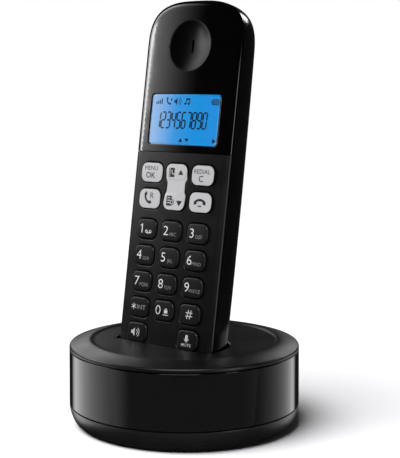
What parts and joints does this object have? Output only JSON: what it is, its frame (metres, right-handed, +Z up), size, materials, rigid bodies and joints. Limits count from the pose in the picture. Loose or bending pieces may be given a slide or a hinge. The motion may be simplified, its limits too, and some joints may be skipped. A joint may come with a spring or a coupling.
{
  "type": "cordless phone with base",
  "caption": "Slim black cordless handset with a lit display and keypad, leaning back in the well of a round charging base.",
  "frame": {"origin": "on the table, under the centre of the round base", "axes": "+Z up, the keypad and the front of the base face -Y, and the keypad's left column is on the -X side"},
  "size_m": [0.0944, 0.0944, 0.1712],
  "materials": {
    "satin_black": "fine satin texture",
    "gloss_black": "polished",
    "key_black": "satin with printed white legends",
    "key_silver": "silver paint with printed dark legends",
    "lens": "clear, polished",
    "display": "lit blue display with dark segments",
    "diffuser": "translucent white",
    "silicone": "matt silicone",
    "circuit_board": "green solder resist",
    "jack_plastic": "moulded",
    "foot_rubber": "matt",
    "nickel": "nickel plated",
    "screw_steel": "zinc plated",
    "cell_jacket": "plain printed jacket"
  },
  "bodies": {
    "base": {"base_top_cover": "satin_black", "base_side_band": "gloss_black", "base_bottom_shell": "satin_black", "base_circuit_board": "circuit_board", "base_radio_shield": "nickel", "base_antenna": "nickel", "line_jack": "jack_plastic", "power_jack": "jack_plastic", "paging_switch": "jack_plastic", "charge_contact_left": "nickel", "charge_contact_right": "nickel", "base_screw_1": "screw_steel", "base_screw_2": "screw_steel", "base_screw_3": "screw_steel", "base_foot_1": "foot_rubber", "base_foot_2": "foot_rubber", "base_foot_3": "foot_rubber", "base_foot_4": "foot_rubber"},
    "paging_button": {"paging_button": "satin_black"},
    "handset": {"front_shell": "satin_black", "upper_fascia": "gloss_black", "display_lens": "lens", "display_panel": "display", "backlight": "diffuser", "rear_shell": "satin_black", "battery_cell_left": "cell_jacket", "battery_cell_right": "cell_jacket", "battery_spring_left": "nickel", "battery_spring_right": "nickel", "battery_link": "nickel", "handset_circuit_board": "circuit_board", "keypad_mat": "silicone", "earpiece_speaker": "nickel", "ringer_speaker": "nickel", "microphone": "nickel", "handset_antenna": "nickel", "handset_charge_pad_left": "nickel", "handset_charge_pad_right": "nickel", "handset_screw_left": "screw_steel", "handset_screw_right": "screw_steel"},
    "battery_door": {"battery_door": "satin_black"},
    "key_rocker": {"key_rocker": "key_silver"},
    "key_1": {"key_1": "key_black"},
    "key_2": {"key_2": "key_black"},
    "key_3": {"key_3": "key_black"},
    "key_4": {"key_4": "key_black"},
    "key_5": {"key_5": "key_black"},
    "key_6": {"key_6": "key_black"},
    "key_7": {"key_7": "key_black"},
    "key_8": {"key_8": "key_black"},
    "key_9": {"key_9": "key_black"},
    "key_star": {"key_star": "key_black"},
    "key_0": {"key_0": "key_black"},
    "key_hash": {"key_hash": "key_black"},
    "key_speaker": {"key_speaker": "key_black"},
    "key_mute": {"key_mute": "key_black"},
    "key_menu_ok": {"key_menu_ok": "key_silver"},
    "key_redial_clear": {"key_redial_clear": "key_silver"},
    "key_talk": {"key_talk": "key_silver"},
    "key_end_call": {"key_end_call": "key_silver"}
  },
  "joints": [
    {"name": "handset_lift", "type": "slide", "parent": "base", "child": "handset", "axis": [0, 0.1564, 0.9877], "range_m": [0, 0.06]},
    {"name": "paging_press", "type": "slide", "parent": "base", "child": "paging_button", "axis": [0, -1, 0], "range_m": [0, 0.0009], "stiffness_N_per_m": 900},
    {"name": "battery_door_slide", "type": "slide", "parent": "handset", "child": "battery_door", "axis": [0, 0.5878, -0.809], "range_m": [0, 0.009]},
    {"name": "rocker_tilt", "type": "hinge", "parent": "handset", "child": "key_rocker", "pos_m": [0, -0.00192, 0.09668], "axis": [1, 0, 0], "range_deg": [-3, 3], "stiffness_Nm_per_rad": 0.09},
    {"name": "key_1_press", "type": "slide", "parent": "handset", "child": "key_1", "axis": [0, 0.9877, -0.1564], "range_m": [0, 0.0008], "stiffness_N_per_m": 900},
    {"name": "key_2_press", "type": "slide", "parent": "handset", "child": "key_2", "axis": [0, 0.9877, -0.1564], "range_m": [0, 0.0008], "stiffness_N_per_m": 900},
    {"name": "key_3_press", "type": "slide", "parent": "handset", "child": "key_3", "axis": [0, 0.9877, -0.1564], "range_m": [0, 0.0008], "stiffness_N_per_m": 900},
    {"name": "key_4_press", "type": "slide", "parent": "handset", "child": "key_4", "axis": [0, 0.9877, -0.1564], "range_m": [0, 0.0008], "stiffness_N_per_m": 900},
    {"name": "key_5_press", "type": "slide", "parent": "handset", "child": "key_5", "axis": [0, 0.9877, -0.1564], "range_m": [0, 0.0008], "stiffness_N_per_m": 900},
    {"name": "key_6_press", "type": "slide", "parent": "handset", "child": "key_6", "axis": [0, 0.9877, -0.1564], "range_m": [0, 0.0008], "stiffness_N_per_m": 900},
    {"name": "key_7_press", "type": "slide", "parent": "handset", "child": "key_7", "axis": [0, 0.9877, -0.1564], "range_m": [0, 0.0008], "stiffness_N_per_m": 900},
    {"name": "key_8_press", "type": "slide", "parent": "handset", "child": "key_8", "axis": [0, 0.9877, -0.1564], "range_m": [0, 0.0008], "stiffness_N_per_m": 900},
    {"name": "key_9_press", "type": "slide", "parent": "handset", "child": "key_9", "axis": [0, 0.9877, -0.1564], "range_m": [0, 0.0008], "stiffness_N_per_m": 900},
    {"name": "key_star_press", "type": "slide", "parent": "handset", "child": "key_star", "axis": [0, 0.9877, -0.1564], "range_m": [0, 0.0008], "stiffness_N_per_m": 900},
    {"name": "key_0_press", "type": "slide", "parent": "handset", "child": "key_0", "axis": [0, 0.9877, -0.1564], "range_m": [0, 0.0008], "stiffness_N_per_m": 900},
    {"name": "key_hash_press", "type": "slide", "parent": "handset", "child": "key_hash", "axis": [0, 0.9877, -0.1564], "range_m": [0, 0.0008], "stiffness_N_per_m": 900},
    {"name": "key_speaker_press", "type": "slide", "parent": "handset", "child": "key_speaker", "axis": [0, 0.9877, -0.1564], "range_m": [0, 0.0008], "stiffness_N_per_m": 900},
    {"name": "key_mute_press", "type": "slide", "parent": "handset", "child": "key_mute", "axis": [0, 0.9877, -0.1564], "range_m": [0, 0.0008], "stiffness_N_per_m": 900},
    {"name": "key_menu_ok_press", "type": "slide", "parent": "handset", "child": "key_menu_ok", "axis": [0, 0.9877, -0.1564], "range_m": [0, 0.0008], "stiffness_N_per_m": 900},
    {"name": "key_redial_clear_press", "type": "slide", "parent": "handset", "child": "key_redial_clear", "axis": [0, 0.9877, -0.1564], "range_m": [0, 0.0008], "stiffness_N_per_m": 900},
    {"name": "key_talk_press", "type": "slide", "parent": "handset", "child": "key_talk", "axis": [0, 0.9877, -0.1564], "range_m": [0, 0.0008], "stiffness_N_per_m": 900},
    {"name": "key_end_call_press", "type": "slide", "parent": "handset", "child": "key_end_call", "axis": [0, 0.9877, -0.1564], "range_m": [0, 0.0008], "stiffness_N_per_m": 900}
  ]
}
